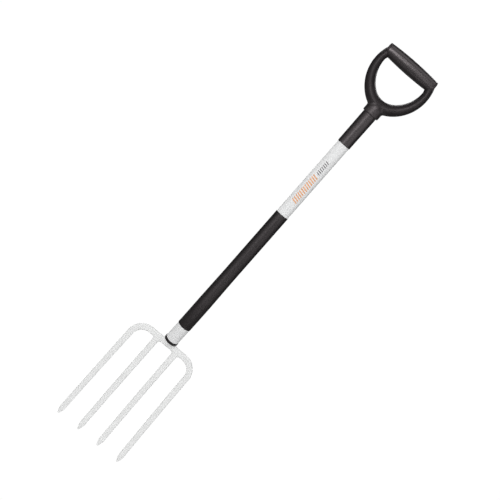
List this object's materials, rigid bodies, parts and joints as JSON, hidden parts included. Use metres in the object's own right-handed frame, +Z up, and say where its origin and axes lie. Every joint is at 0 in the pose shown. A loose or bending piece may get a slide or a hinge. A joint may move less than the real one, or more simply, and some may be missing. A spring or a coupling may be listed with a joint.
{
  "type": "digging fork",
  "caption": "Long-handled garden digging fork: straight tines on a bent-bar head, cranked tubular shaft with a grip sleeve, and a D-shaped top handle.",
  "frame": {"origin": "centre of the D handle's grip bar, where a hand holds it; the fork hangs below with its tines down", "axes": "+Z up the straight shaft from tines to grip, +X along the grip bar and the crossbar to the right, -Y to the front, the side that the tines curve towards"},
  "size_m": [0.1888, 0.0552, 1.1311],
  "materials": {
    "head_coat": "light grey powder coat, fine orange peel, satin",
    "tube_lacquer": "pale silver-white lacquered aluminium, satin",
    "sleeve_plastic": "black fine-grained plastic, matte",
    "stem_plastic": "black moulded plastic, satin",
    "handle_plastic": "charcoal moulded plastic with fine grain, satin",
    "grip_rubber": "charcoal soft-touch overmould, matte",
    "bush_plastic": "black plastic",
    "inner_plastic": "black plastic, hidden inside the tube",
    "fastener_steel": "zinc-plated steel"
  },
  "bodies": {
    "root": {"outer_tine_bow": "head_coat", "inner_tine_left": "head_coat", "inner_tine_right": "head_coat", "tine_weld_left": "head_coat", "tine_weld_right": "head_coat", "neck_spigot": "head_coat", "neck_weld": "head_coat", "neck_bush": "bush_plastic", "neck_rivet": "fastener_steel", "shaft_tube": "tube_lacquer", "shaft_sleeve": "sleeve_plastic", "shaft_top_plug": "inner_plastic", "handle_stem": "stem_plastic", "handle_bow": "handle_plastic", "handle_screw": "fastener_steel", "grip_cover": "grip_rubber", "grip_plug_left": "handle_plastic", "grip_plug_right": "handle_plastic"}
  },
  "joints": []
}
